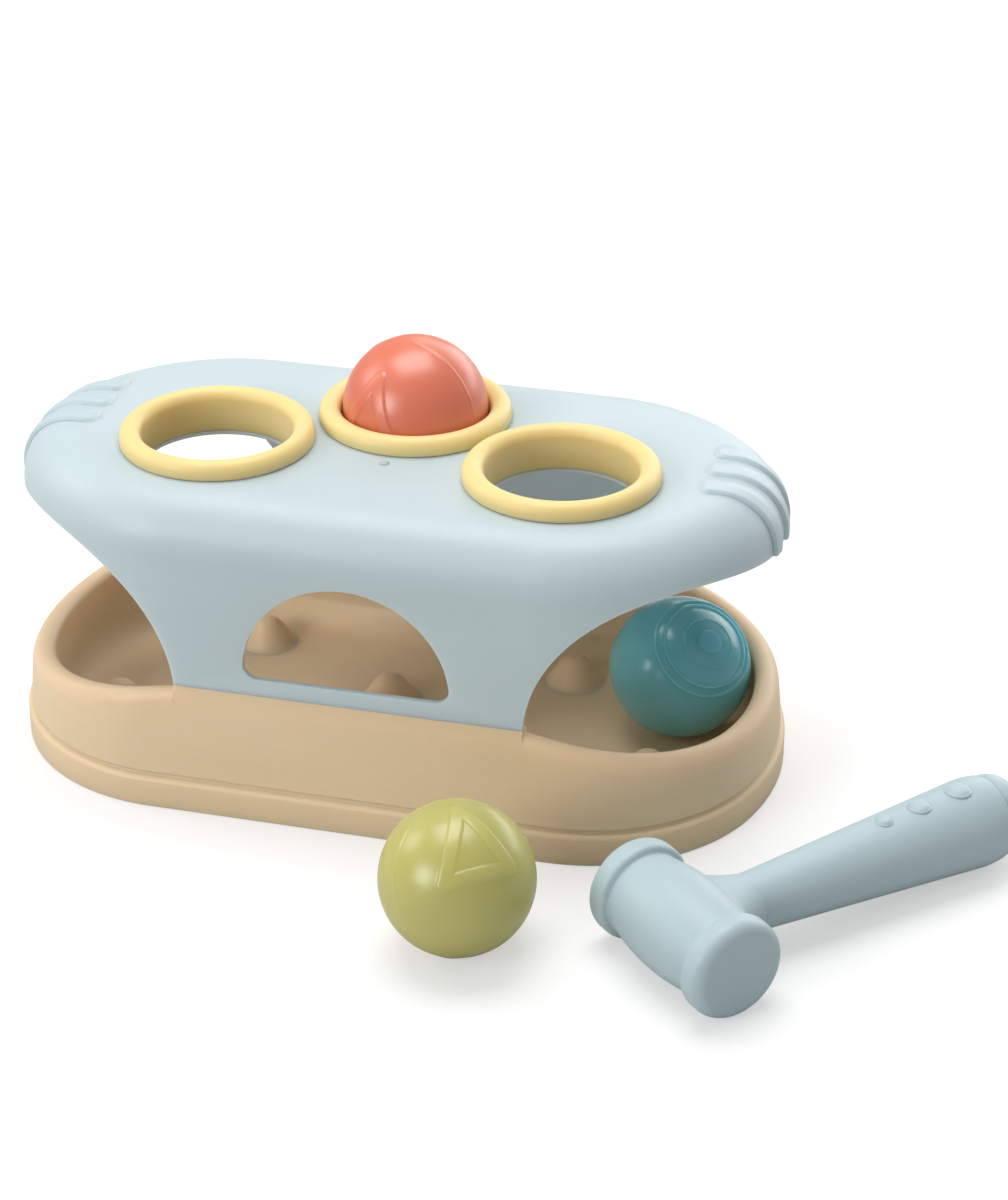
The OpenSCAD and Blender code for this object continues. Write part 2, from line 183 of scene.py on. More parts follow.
def mouldedPlastic(name, settings):
    # satin moulded plastic: a faint cloudiness in the colour and a very fine pebbled skin
    noise = plasticNoise
    material, tree, shader = newMaterial(name)
    place = addNode(tree, "ShaderNodeTexCoord").outputs["Object"]
    cloud = addNode(tree, "ShaderNodeTexNoise", {
        "Vector": place, "Scale": 1 / (settings["cloudSize"] * mm), "Detail": noise["cloudDetail"]})
    # drawn-out noise gives the faint level streaks of the moulding
    along, up = 1 / (settings["streakLength"] * mm), 1 / (settings["streakWidth"] * mm)
    level = addNode(tree, "ShaderNodeMapping", {"Vector": place, "Scale": (along, along, up)})
    streak = addNode(tree, "ShaderNodeTexNoise", {
        "Vector": level.outputs["Vector"], "Scale": 1.0, "Detail": noise["streakDetail"]})
    share = addNode(tree, "ShaderNodeMix", {
        "Factor": noise["streakShare"], "A": cloud.outputs["Fac"], "B": streak.outputs["Fac"]})
    # sockets 6 and 7 of a colour mix are its two colours
    tint = addNode(tree, "ShaderNodeMix", {
        "Factor": share.outputs[0], 6: colour(settings["dark"]), 7: colour(settings["light"])},
        data_type="RGBA")
    tree.links.new(tint.outputs[2], shader.inputs["Base Color"])
    grain = addNode(tree, "ShaderNodeTexNoise", {
        "Vector": place, "Scale": 1 / (settings["grainSize"] * mm), "Detail": noise["grainDetail"]})
    bump = addNode(tree, "ShaderNodeBump", {
        "Height": grain.outputs["Fac"], "Strength": settings["grain"], "Distance": noise["grainDepth"] * mm})
    tree.links.new(bump.outputs["Normal"], shader.inputs["Normal"])
    setSkin(shader, settings)
    return material


def glossVinyl(name, settings):
    # thin soft vinyl: glossy skin, light carried through it
    material, _, shader = newMaterial(name)
    shader.inputs["Base Color"].default_value = colour(settings["base"])
    setSkin(shader, settings)
    return material


bluePaint = {
    "light": "#BFCED4", "dark": "#B7C8CE", "cloudSize": 30, "streakLength": 60, "streakWidth": 3,
    "grainSize": 0.5, "grain": 0.08, "roughness": 0.42, "specular": 0.5,
    "glow": 0.5, "glowDepth": 8, "glowColour": (0.9, 0.97, 1.0)}
bluePlastic = mouldedPlastic("pale blue moulded plastic", bluePaint)
# the ribs lie on the shell, so no light is carried through them
ribPlastic = mouldedPlastic("pale blue moulded plastic ribs", {**bluePaint, "glow": 0})
hammerPlastic = mouldedPlastic("pale blue hammer plastic", {
    "light": "#B5C8CD", "dark": "#ADC0C6", "cloudSize": 25, "streakLength": 25, "streakWidth": 8,
    "grainSize": 0.5, "grain": 0.08, "roughness": 0.45, "specular": 0.5,
    "glow": 0.1, "glowDepth": 2, "glowColour": (0.8, 0.95, 1.0)})
beigePlastic = mouldedPlastic("beige moulded plastic", {
    "light": "#EAD1AE", "dark": "#E3C6A0", "cloudSize": 18, "streakLength": 70, "streakWidth": 1.6,
    "grainSize": 0.5, "grain": 0.1, "roughness": 0.45, "specular": 0.5,
    "glow": 0.5, "glowDepth": 7, "glowColour": (1.0, 0.6, 0.3)})
yellowRubber = mouldedPlastic("soft yellow rubber", {
    "light": "#EAD497", "dark": "#E6CE8E", "cloudSize": 15, "streakLength": 20, "streakWidth": 6,
    "grainSize": 0.4, "grain": 0.06, "roughness": 0.42, "specular": 0.45,
    "glow": 0.7, "glowDepth": 7, "glowColour": (1.0, 0.8, 0.45)})
coralVinyl = glossVinyl("coral vinyl", {
    "base": "#DB785B", "roughness": 0.33, "specular": 0.9, "glow": 0.6,
    "glowColour": (1.0, 0.45, 0.35), "glowDepth": 14})
tealVinyl = glossVinyl("teal vinyl", {
    "base": "#66B2BD", "roughness": 0.23, "specular": 0.7, "glow": 0.65,
    "glowColour": (0.4, 0.8, 0.95), "glowDepth": 16})
oliveVinyl = glossVinyl("olive green vinyl", {
    "base": "#B9B36A", "roughness": 0.3, "specular": 0.7, "glow": 0.9,
    "glowColour": (0.9, 1.0, 0.5), "glowDepth": 26})
print("materials made")


# Geometry node helpers
def newTree(name, sizes):
    # a tree with geometry in and out, one named input for each size, and the material
    tree = bpy.data.node_groups.new(name, "GeometryNodeTree")
    tree.interface.new_socket("Geometry", in_out="INPUT", socket_type="NodeSocketGeometry")
    for size in sizes:
        tree.interface.new_socket(size, in_out="INPUT", socket_type="NodeSocketFloat")
    tree.interface.new_socket("Material", in_out="INPUT", socket_type="NodeSocketMaterial")
    tree.interface.new_socket("Geometry", in_out="OUTPUT", socket_type="NodeSocketGeometry")
    return tree, addNode(tree, "NodeGroupInput").outputs


def endTree(tree, geometry, material):
    real = addNode(tree, "GeometryNodeRealizeInstances", {"Geometry": geometry})
    coated = addNode(tree, "GeometryNodeSetMaterial", {"Geometry": real.outputs[0], "Material": material})
    addNode(tree, "NodeGroupOutput", {0: coated.outputs[0]})
    return tree


def calc(tree, operation, *values):
    return addNode(tree, "ShaderNodeMath", dict(enumerate(values)), operation=operation).outputs[0]


def ease(tree, value, start, end):
    # rises softly from 0 at start to 1 at end
    return addNode(tree, "ShaderNodeMapRange", {"Value": value, "From Min": start, "From Max": end},
                   interpolation_type="SMOOTHSTEP").outputs[0]


def attribute(tree, name):
    return addNode(tree, "GeometryNodeInputNamedAttribute", {"Name": name}).outputs["Attribute"]


def storeAttribute(obj, name, values):
    obj.data.attributes.new(name, "FLOAT", "POINT").data.foreach_set("value", values)


def useTree(obj, tree, sizes, material):
    modifier = obj.modifiers.new(tree.name, "NODES")
    modifier.node_group = tree
    for socket in tree.interface.items_tree:
        if socket.in_out == "INPUT" and socket.name in sizes:
            modifier[socket.identifier] = float(sizes[socket.name])
        elif socket.name == "Material":
            modifier[socket.identifier] = material
    return obj


domeBall = {"segments": 48, "rings": 40, "equator": -0.001}


def buildDomeTree():
    # a closed dome on every point: height falls as (1 - r^power)^2, scaled sideways by the point's own size
    tree, given = newTree("domes on points", ("Radius", "Height", "Power", "Sink"))
    ball = addNode(tree, "GeometryNodeMeshUVSphere", {
        "Segments": domeBall["segments"], "Rings": domeBall["rings"], "Radius": 1.0}).outputs["Mesh"]
    x, y, z = addNode(tree, "ShaderNodeSeparateXYZ", {
        0: addNode(tree, "GeometryNodeInputPosition").outputs[0]}).outputs
    reach = calc(tree, "SQRT", calc(tree, "ADD", calc(tree, "MULTIPLY", x, x), calc(tree, "MULTIPLY", y, y)))
    fall = calc(tree, "SUBTRACT", 1.0, calc(tree, "POWER", reach, given["Power"]))
    dome = calc(tree, "MULTIPLY", given["Height"], calc(tree, "MULTIPLY", fall, fall))
    # the ball's lower half is pressed flat as the dome's bottom
    upper = calc(tree, "GREATER_THAN", z, domeBall["equator"])
    level = addNode(tree, "ShaderNodeMix", {
        "Factor": upper, "A": calc(tree, "MULTIPLY", given["Sink"], -1.0), "B": dome}).outputs[0]
    shaped = addNode(tree, "ShaderNodeCombineXYZ", {
        0: calc(tree, "MULTIPLY", x, given["Radius"]), 1: calc(tree, "MULTIPLY", y, given["Radius"]), 2: level})
    moved = addNode(tree, "GeometryNodeSetPosition", {"Geometry": ball, "Position": shaped.outputs[0]})
    size = attribute(tree, "size")
    scale = addNode(tree, "ShaderNodeCombineXYZ", {0: size, 1: size, 2: 1.0})
    spread = addNode(tree, "GeometryNodeInstanceOnPoints", {
        "Points": given["Geometry"], "Instance": moved.outputs[0], "Scale": scale.outputs[0]})
    return endTree(tree, spread.outputs[0], given["Material"])


ribEase = {"front": 0.1, "back": 0.4, "levelShare": 0.1, "merge": 0.001}


def buildRibTree():
    # ribs raised from a patch of skin, one in each pitch: a steep front, a soft back, a rounded nose
    tree, given = newTree("finger ribs", ("First", "Pitch", "Width", "Height", "Sink", "Depth", "Nose", "Ramp"))
    turn = calc(tree, "DIVIDE", calc(tree, "SUBTRACT", attribute(tree, "side"), given["First"]), given["Pitch"])
    inPitch = calc(tree, "MULTIPLY", calc(tree, "FRACT", turn), given["Pitch"])
    across = calc(tree, "DIVIDE", inPitch, given["Width"])
    offset = calc(tree, "MAXIMUM", calc(tree, "SUBTRACT", given["Nose"], inPitch), 0.0)
    chord = calc(tree, "SQRT", calc(tree, "SUBTRACT", calc(tree, "MULTIPLY", given["Nose"], given["Nose"]),
                                    calc(tree, "MULTIPLY", offset, offset)))
    setBack = calc(tree, "SUBTRACT", given["Nose"], chord)
    rise = given["Height"]
    pastNose = calc(tree, "SUBTRACT", attribute(tree, "along"), setBack)
    for share in (ease(tree, across, 0.0, ribEase["front"]), ease(tree, across, 1.0, ribEase["back"]),
                  ease(tree, pastNose, 0.0, given["Ramp"])):
        rise = calc(tree, "MULTIPLY", rise, share)
    normal = addNode(tree, "GeometryNodeInputNormal").outputs[0]
    lift = addNode(tree, "ShaderNodeVectorMath", {
        0: normal, "Scale": calc(tree, "SUBTRACT", rise, given["Sink"])}, operation="SCALE")
    moved = addNode(tree, "GeometryNodeSetPosition", {"Geometry": given["Geometry"], "Offset": lift.outputs[0]})
    # what stays level is taken out, and sides and a bottom inside the wall close the ribs
    level = calc(tree, "LESS_THAN", rise, calc(tree, "MULTIPLY", given["Sink"], ribEase["levelShare"]))
    kept = addNode(tree, "GeometryNodeDeleteGeometry", {"Geometry": moved.outputs[0], "Selection": level})
    down = calc(tree, "MULTIPLY", given["Depth"], -1.0)
    below = addNode(tree, "GeometryNodeExtrudeMesh", {
        "Mesh": kept.outputs[0], "Offset Scale": down, "Individual": False})
    turned = addNode(tree, "GeometryNodeFlipFaces", {"Mesh": below.outputs["Mesh"]})
    both = addNode(tree, "GeometryNodeJoinGeometry", {"Geometry": kept.outputs[0]})
    tree.links.new(turned.outputs[0], both.inputs[0])
    closed = addNode(tree, "GeometryNodeMergeByDistance", {
        "Geometry": both.outputs[0], "Distance": ribEase["merge"] * mm})
    return endTree(tree, closed.outputs[0], given["Material"])


domeTree = buildDomeTree()
ribTree = buildRibTree()
print("node trees made")


# Ovals: two arc radii, from half length, half width, half straight and the tip arc's half angle
def ovalRadii(oval):
    f = math.radians(oval["tipAngle"])
    step = (oval["halfLength"] - oval["halfStraight"] - oval["halfWidth"]) / (math.sin(f) + math.cos(f) - 1)
    sideRadius = oval["halfWidth"] + step * math.sin(f)
    tipRadius = oval["halfLength"] - oval["halfStraight"] - step * math.cos(f)
    return sideRadius, tipRadius


def ovalAt(oval, angle):
    # station whose outward normal stands at angle degrees from +X, in the first quarter
    sideRadius, tipRadius = ovalRadii(oval)
    t = math.radians(angle)
    n = (math.cos(t), math.sin(t))
    if angle <= oval["tipAngle"]:
        return (oval["halfLength"] - tipRadius + tipRadius * n[0], tipRadius * n[1], n[0], n[1])
    return (oval["halfStraight"] + sideRadius * n[0],
            oval["halfWidth"] - sideRadius + sideRadius * n[1], n[0], n[1])


def ovalAtX(oval, x):
    # station at distance x along the first quarter
    sideRadius, tipRadius = ovalRadii(oval)
    if x <= oval["halfStraight"]:
        return (x, oval["halfWidth"], 0.0, 1.0)
    share = (x - oval["halfStraight"]) / sideRadius
    angle = math.degrees(math.acos(min(share, 1)))
    if angle <= oval["tipAngle"]:
        angle = math.degrees(math.acos((x - oval["halfLength"] + tipRadius) / tipRadius))
    return ovalAt(oval, angle)


def wholeRing(quarter):
    # stations of a whole oval from those of the quarter that runs from the Y axis to the X axis
    back = [(x, -y, nx, -ny) for x, y, nx, ny in quarter[-2::-1]]
    half = quarter + back
    return half + [(-x, -y, -nx, -ny) for x, y, nx, ny in half[1:-1]]


# Bench top: outer skin as a grid of stations and rows, thickened inwards, with its edges rounded
topLow, topHigh = nodeBox("bench_top")
ringBoxes = {side: nodeBox("ring_" + side) for side in ("left", "middle", "right")}
benchTop = {
    "halfLength": 130, "halfWidth": (topHigh[1] - topLow[1]) / 2, "halfStraight": 60, "tipAngle": 28,
    "height": 110.2, "edgeRadius": 18.2, "wall": 2.0, "foot": 44.9, "legHalf": 58.9,
    "archRadius": 52.4, "archDrop": 16.9, "rows": 40, "archColumns": 22, "endColumns": 30,
    "archEnd": 86, "windowRadius": 35, "sill": 51, "windowCentre": 52.5, "windowCorner": 5, "windowSteps": 48,
    "cornerSteps": 6, "edgeRound": 0.8, "edgeSteps": 3, "edgeAngle": 50, "plateSlack": 0.01,
    "socketRadius": 30.55, "boreRadius": 28.35, "boreSteps": 72, "lipBore": 25.75, "lipThick": 1.6,
    "socketRound": 0.5, "lipRound": 0.4, "socketSteps": 96}


def archCentre():
    s = benchTop
    z = s["height"] - s["archDrop"] - s["archRadius"]
    return s["legHalf"] + math.sqrt(s["archRadius"] ** 2 - (s["foot"] - z) ** 2), z


def archHeight(x):
    # height of the lower lip at distance x from the middle
    s = benchTop
    centreX, centreZ = archCentre()
    if x <= s["legHalf"] + tiny:
        return s["foot"]
    return centreZ + math.sqrt(max(s["archRadius"] ** 2 - (x - centreX) ** 2, 0))


def topRow(station, share, lowest):
    # point on the outer skin: share 0 at the plate's edge, 1 at the lower lip
    s = benchTop
    r = s["edgeRadius"]
    arcLength = r * math.pi / 2
    edgeZ = s["height"] - r
    if lowest > edgeZ:
        total = arcLength - r * math.asin((lowest - edgeZ) / r)
    else:
        total = arcLength + edgeZ - lowest
    along = share * total
    if along <= arcLength:
        t = math.pi / 2 - along / r
        inset, z = r - r * math.cos(t), edgeZ + r * math.sin(t)
    else:
        inset, z = 0, edgeZ - (along - arcLength)
    x, y, nx, ny = station
    return (x - inset * nx, y - inset * ny, z)


def windowLoop():
    # round-topped window with a flat sill and rounded lower corners, in X and Z
    s = benchTop
    drop = s["windowCorner"] - (s["windowCentre"] - s["sill"])
    cornerX = math.sqrt((s["windowRadius"] - s["windowCorner"]) ** 2 - drop**2)
    lift = math.degrees(math.atan2(drop, cornerX))
    z = s["windowCentre"]
    right = arcPoints((cornerX, z + drop), s["windowCorner"], -90, lift, s["cornerSteps"])
    arch = arcPoints((0, z), s["windowRadius"], lift, 180 - lift, s["windowSteps"])
    left = arcPoints((-cornerX, z + drop), s["windowCorner"], 180 - lift, 270, s["cornerSteps"])
    return right + arch[1:-1] + left


def buildTopSkin():
    s = benchTop
    centreX = archCentre()[0]
    startAngle = math.acos((s["legHalf"] - centreX) / s["archRadius"])
    endAngle = math.acos((s["archEnd"] - centreX) / s["archRadius"])
    xs = [centreX + s["archRadius"] * math.cos(t) for t in np.linspace(startAngle, endAngle, s["archColumns"])]
    quarter = [ovalAtX(s, 0)] + [ovalAtX(s, x) for x in xs]
    turnAngle = math.degrees(math.atan2(quarter[-1][3], quarter[-1][2]))
    quarter += [ovalAt(s, t) for t in np.linspace(turnAngle, 0, s["endColumns"])[1:]]
    stations = wholeRing(quarter)
    rows = s["rows"]
    shares = np.linspace(0, 1, rows)
    verts = []
    for station in stations:
        lowest = archHeight(abs(station[0]))
        verts += [topRow(station, t, lowest) for t in shares]
    firstFlat = next(i for i in range(rows) if verts[i][2] <= s["height"] - s["edgeRadius"])
    n = len(stations)
    faces = []
    for i in range(n):
        j = (i + 1) % n
        legSpan = min(abs(stations[i][0]), abs(stations[j][0])) < tiny
        for k in range(firstFlat if legSpan else rows - 1):
            faces.append((i * rows + k, i * rows + k + 1, j * rows + k + 1, j * rows + k))
    # each leg: two flat faces that meet on the middle line; the front one has the window between them
    loop = windowLoop()
    crown = next(k for k in range(len(loop)) if loop[k][0] <= 0)
    for i in (k for k in range(n) if abs(stations[k][0]) < tiny):
        y = stations[i][1]
        footMiddle = len(verts)
        verts.append((0, y, s["foot"]))
        toCrown, toEnd = [], []
        if y < 0:
            sillMiddle = len(verts)
            verts.append((0, y, s["sill"]))
            base = len(verts)
            verts += [(x, y, z) for x, z in loop]
            toCrown = [sillMiddle] + [base + k for k in range(crown + 1)]
            toEnd = [sillMiddle] + [base + k for k in range(len(loop) - 1, crown - 1, -1)]
        before, after = (i - 1) % n, (i + 1) % n
        right, left = (after, before) if stations[after][0] > 0 else (before, after)
        for side, inner in ((right, toCrown), (left, toEnd)):
            edge = [side * rows + k for k in range(firstFlat, rows)]
            faces.append(tuple([i * rows + firstFlat] + edge + [footMiddle] + inner))
    obj = makeObject("topSkin", verts, faces)
    bm = bmesh.new()
    bm.from_mesh(obj.data)
    bmesh.ops.delete(bm, geom=[v for v in bm.verts if not v.link_faces], context="VERTS")
    # flat plate with the three socket holes
    plateLow = (s["height"] - s["plateSlack"]) * mm
    rim = [e for e in bm.edges if e.is_boundary and min(v.co.z for v in e.verts) > plateLow]
    holes = []
    for low, high in ringBoxes.values():
        centre = (low + high) / 2
        ring = [bm.verts.new(Vector((x, y, s["height"])) * mm)
                for x, y in arcPoints(centre[:2], s["boreRadius"], 0, 360, s["boreSteps"])[:-1]]
        holes += [bm.edges.new((ring[k], ring[(k + 1) % len(ring)])) for k in range(len(ring))]
    bmesh.ops.triangle_fill(bm, use_beauty=True, edges=rim + holes)
    bmesh.ops.remove_doubles(bm, verts=bm.verts, dist=tiny)
    bmesh.ops.recalc_face_normals(bm, faces=bm.faces)
    plate = max(bm.faces, key=lambda f: f.calc_center_median().z)
    if plate.normal.z < 0:
        bmesh.ops.reverse_faces(bm, faces=bm.faces)
    bm.to_mesh(obj.data)
    bm.free()
    shell = obj.modifiers.new("wall", "SOLIDIFY")
    shell.thickness = s["wall"] * mm
    shell.offset = -1
    shell.use_even_offset = True
    soft = obj.modifiers.new("edges", "BEVEL")
    soft.width = s["edgeRound"] * mm
    soft.segments = s["edgeSteps"]
    soft.limit_method = "ANGLE"
    soft.angle_limit = math.radians(s["edgeAngle"])
    return obj


def buildSockets():
    s = benchTop
    plateBottom = s["height"] - s["wall"] / 2
    lipTop = ringBoxes["left"][0][2]
    lipBottom = lipTop - s["lipThick"]
    outer, outerRound, bore, boreRound = s["socketRadius"], s["socketRound"], s["lipBore"], s["lipRound"]
    profile = [(outer, plateBottom), (outer, lipBottom + outerRound), (outer - outerRound, lipBottom),
               (bore + boreRound, lipBottom), (bore, lipBottom + boreRound), (bore, lipTop),
               (s["boreRadius"], lipTop), (s["boreRadius"], plateBottom)]
    pieces = []
    for low, high in ringBoxes.values():
        centre = (low + high) / 2
        pieces.append(lathe("socket", profile, s["socketSteps"], Matrix.Translation((centre[0], centre[1], 0))))
    return pieces


fingerRibs = {"count": 3, "first": -13, "pitch": 13.1, "width": 12.2, "height": 1.5, "sink": 0.2, "depth": 1,
              "nose": 4, "ramp": 3, "start": 27.6, "acrossSteps": 110, "alongSteps": 90}


def buildRibs():
    # a patch of skin at each end, from the plate over the edge to the lip, that the ribs are raised from
    s, r = benchTop, fingerRibs
    tipRadius = ovalRadii(s)[1]
    tipX = s["halfLength"] - tipRadius
    edge = s["edgeRadius"]
    edgeZ = s["height"] - edge
    arcLength = edge * math.pi / 2
    last = r["first"] + (r["count"] - 1) * r["pitch"] + r["width"]
    sizes = {name.title(): r[name] * mm
             for name in ("first", "pitch", "width", "height", "sink", "depth", "nose", "ramp")}
    pieces = []
    for end in (-1, 1):
        verts, alongs, sides = [], [], []
        for a in np.linspace(0, 1, r["alongSteps"]):
            for y in np.linspace(r["first"], last, r["acrossSteps"]):
                flat = math.sqrt((tipRadius - edge) ** 2 - y * y) + r["start"] - tipRadius
                lip = archHeight(tipX + math.sqrt(tipRadius**2 - y * y))
                along = a * (flat + arcLength + edgeZ - lip)
                t = math.pi / 2 - np.clip((along - flat) / edge, 0, math.pi / 2)
                reach = tipRadius - edge + edge * math.cos(t)
                x = tipX + math.sqrt(reach * reach - y * y) - max(flat - along, 0)
                z = edgeZ + edge * math.sin(t) - max(along - flat - arcLength, 0)
                verts.append((end * x, y, z))
                alongs.append(along * mm)
                sides.append(y * mm)
        patch = makeObject("ribPatch", verts, gridFaces(r["alongSteps"], r["acrossSteps"]))
        if patch.data.polygons[0].normal.z < 0:
            patch.data.flip_normals()
        storeAttribute(patch, "along", alongs)
        storeAttribute(patch, "side", sides)
        pieces.append(useTree(patch, ribTree, sizes, ribPlastic))
    return pieces


topDot = {"radius": 1.7, "height": 0.55, "gap": 5, "sink": 0.02, "rows": 8, "steps": 24}


def buildDot():
    # the small raised dot on the plate, in front of the middle ring
    s = topDot
    y = ringBoxes["middle"][0][1] - s["gap"]
    profile = [(s["radius"] * math.sin(t), s["height"] * math.cos(t) - s["sink"])
               for t in np.linspace(0, math.pi / 2, s["rows"])]
    return lathe("dot", profile, s["steps"], Matrix.Translation((0, y, benchTop["height"])))


topShell = joined("benchTopLook", [buildTopSkin()] + buildSockets() + [buildDot()])
finishPiece(topShell, "bench_top", "bench", bluePlastic, 35)
finishPiece(joined("fingerRibsLook", buildRibs()), None, "bench", ribPlastic, 60)
print("bench top made")


# Tray: a section carried round an oval, with the rim falling from the legs to both ends
trayLow, trayHigh = nodeBox("tray")
tray = {
    "halfLength": (trayHigh[0] - trayLow[0]) / 2, "halfWidth": (trayHigh[1] - trayLow[1]) / 2,
    "halfStraight": 68, "tipAngle": 18.6, "plinth": 11, "plinthRound": 1.6, "footRound": 0.6,
    "grooveDepth": 2.3, "wallInset": 1.5, "wallFoot": 13, "flare": 5.8, "bow": 0.39,
    "ledge": trayHigh[2], "rimSide": 43.3, "rimEnd": 31, "inner": 11, "rimInner": 3, "rimOuter": 5.5,
    "ledgeRound": 0.4, "ledgeInner": 2, "draft": 0.05, "floor": 4, "fillet": 12, "skin": 2.2,
    "hollowTop": 9, "hollowFoot": 2.8, "legHalf": 59.05, "legStep": 0.05, "crestStep": 0.5,
    "sideSteps": 34, "tipSteps": 14, "footSteps": 3, "plinthSteps": 5, "grooveSteps": 8, "wallSteps": 12,
    "shoulderSteps": 9, "rimSteps": 8, "filletSteps": 12}


def wallInset(z):
    s = tray
    t = (z - s["wallFoot"]) / (s["ledge"] - s["wallFoot"])
    return s["wallInset"] + (s["flare"] - s["wallInset"]) * (s["bow"] * t + (1 - s["bow"]) * t * t)


def traySection(station):
    # inset and height of the section's points: hollow, plinth, groove, wall, rim, inner wall, floor
    s = tray
    crest = s["inner"] - s["rimInner"]
    onLedge = abs(station[0]) < s["legHalf"]
    fall = (abs(station[0] - crest * station[2]) - s["legHalf"]) / (s["halfLength"] - crest - s["legHalf"])
    top = s["ledge"] if onLedge else s["rimSide"] - (s["rimSide"] - s["rimEnd"]) * fall
    outer = s["ledgeRound"] if onLedge else s["rimOuter"]
    inner = s["ledgeInner"] if onLedge else s["rimInner"]
    crest = s["flare"] + s["ledgeRound"] if onLedge else crest - s["crestStep"]
    shoulder = top - outer
    points = [(s["inner"], 0), (s["inner"] - s["skin"], top - s["hollowTop"]),
              (wallInset(top - s["hollowTop"]) + s["skin"], top - s["hollowTop"]), (s["hollowFoot"], 0)]
    points += [(s["footRound"] - x, s["footRound"] - z)
               for x, z in arcPoints((0, 0), s["footRound"], 90, 0, s["footSteps"])]
    r = s["plinthRound"]
    points += arcPoints((r, s["plinth"] - r), r, 180, 90, s["plinthSteps"])
    # soft round groove between plinth and wall
    lowZ, highZ = s["plinth"], s["wallFoot"]
    for t in np.linspace(0, 1, s["grooveSteps"])[1:]:
        z = lowZ + (highZ - lowZ) * t
        inset = r + (s["wallInset"] - r) * t
        points.append((inset + (s["grooveDepth"] - s["wallInset"]) * math.sin(math.pi * t), z))
    points += [(wallInset(z), z) for z in np.linspace(s["wallFoot"], shoulder, s["wallSteps"])[1:-1]]
    start = wallInset(shoulder)
    for t in np.radians(np.linspace(0, 90, s["shoulderSteps"])):
        points.append((start + (crest - start) * (1 - math.cos(t)), shoulder + outer * math.sin(t)))
    points += arcPoints((s["inner"] - inner, top - inner), inner, 90, 0, s["rimSteps"])
    footZ = s["floor"] + s["fillet"]
    footInset = s["inner"] + s["draft"] * (top - inner - footZ)
    points += arcPoints((footInset + s["fillet"], footZ), s["fillet"], 180, 270, s["filletSteps"])
    return points


def buildTray():
    s = tray
    quarter = [(x, s["halfWidth"], 0.0, 1.0)
               for x in (0, s["legHalf"] - s["legStep"], s["legHalf"] + s["legStep"])]
    quarter += [ovalAt(s, t) for t in np.linspace(90, s["tipAngle"], s["sideSteps"])]
    quarter += [ovalAt(s, t) for t in np.linspace(s["tipAngle"], 0, s["tipSteps"])[1:]]
    stations = wholeRing(quarter)
    verts = []
    for station in stations:
        x, y, nx, ny = station
        section = traySection(station)
        verts += [(x - d * nx, y - d * ny, z) for d, z in section]
    size = len(section)
    faces = gridFaces(len(stations), size, closeRows=True)
    faces.append(tuple(i * size for i in range(len(stations))))
    faces.append(tuple(i * size + size - 1 for i in range(len(stations))))
    return weld(makeObject("trayShell", verts, faces))


# places as shares of the tray's half length and half width
floorBumps = {
    "places": [(-0.743, -0.237), (-0.472, 0.54), (-0.063, 0.15), (0.39, 0.545), (0.682, -0.237)],
    "height": 9.5, "radius": 10.8, "power": 2.7, "sink": 0.5}


def buildBumps():
    b = floorBumps
    points = makeObject("bumps", [(x * tray["halfLength"], y * tray["halfWidth"], tray["floor"])
                                  for x, y in b["places"]], [])
    storeAttribute(points, "size", [1.0] * len(b["places"]))
    sizes = {"Radius": b["radius"] * mm, "Height": b["height"] * mm, "Power": b["power"],
             "Sink": b["sink"] * mm}
    return useTree(points, domeTree, sizes, beigePlastic)


finishPiece(joined("trayLook", [buildTray()]), "tray", "bench", beigePlastic, 50)
finishPiece(joined("floorBumpsLook", [buildBumps()]), None, "bench", beigePlastic, 50)
print("tray made")


# Rings: a round bead on the plate and a sleeve in the socket
ringShape = {"bead": 3.6, "drop": 1.1, "sleeve": 2.6, "sleeveRound": 0.4, "sleeveDrop": 2, "ease": 0.3, "foot": 0.7,
             "beadSteps": 40, "footSteps": 6, "steps": 144}


def buildRing(side):
    s = ringShape
    low, high = ringBoxes[side]
    centre = (low + high) / 2
    outer = (high[0] - low[0]) / 2
    bead, foot, corner = s["bead"], s["foot"], s["sleeveRound"]
    plate, bottom = benchTop["height"], low[2]
    sleeveInner = outer - 2 * bead + s["ease"]
    sleeveOuter = sleeveInner + s["sleeve"]
    profile = [(sleeveInner + corner, bottom), (sleeveInner, bottom + corner),
               (sleeveInner, plate - s["sleeveDrop"])]
    profile += arcPoints((outer - bead, high[2] - s["drop"] - bead), bead, 180, 0, s["beadSteps"])
    profile += arcPoints((outer - foot, plate + foot), foot, 0, -90, s["footSteps"])
    profile += [(sleeveOuter, plate), (sleeveOuter, bottom), (sleeveInner + corner, bottom)]
    ring = lathe(f"ring{side.title()}Look", profile, s["steps"], Matrix.Translation((centre[0], centre[1], 0)))
    return finishPiece(ring, "ring_" + side, "bench", yellowRubber, 50)


for side in ringBoxes:
    buildRing(side)
print("rings made")


# Balls: hollow vinyl, each with its own raised pattern
def facing(node, towards):
    # a matrix that carries +Z of a ball to the given direction, at the ball's centre
    turn = Vector((0, 0, 1)).rotation_difference(Vector(towards).normalized()).to_matrix().to_4x4()
    return Matrix.Translation(Vector(nodeCentre(node))) @ turn


def ballRadius(node):
    low, high = nodeBox(node)
    return (high[2] - low[2]) / 2


# bands as spans of degrees from the pole
tealBall = {"towards": (0.497, -0.471, 0.729), "bands": [(-4, 10.5), (20, 22), (35, 38.5), (42, 46.5)],
            "height": 0.8, "edge": 1.6, "rows": 721, "steps": 128}


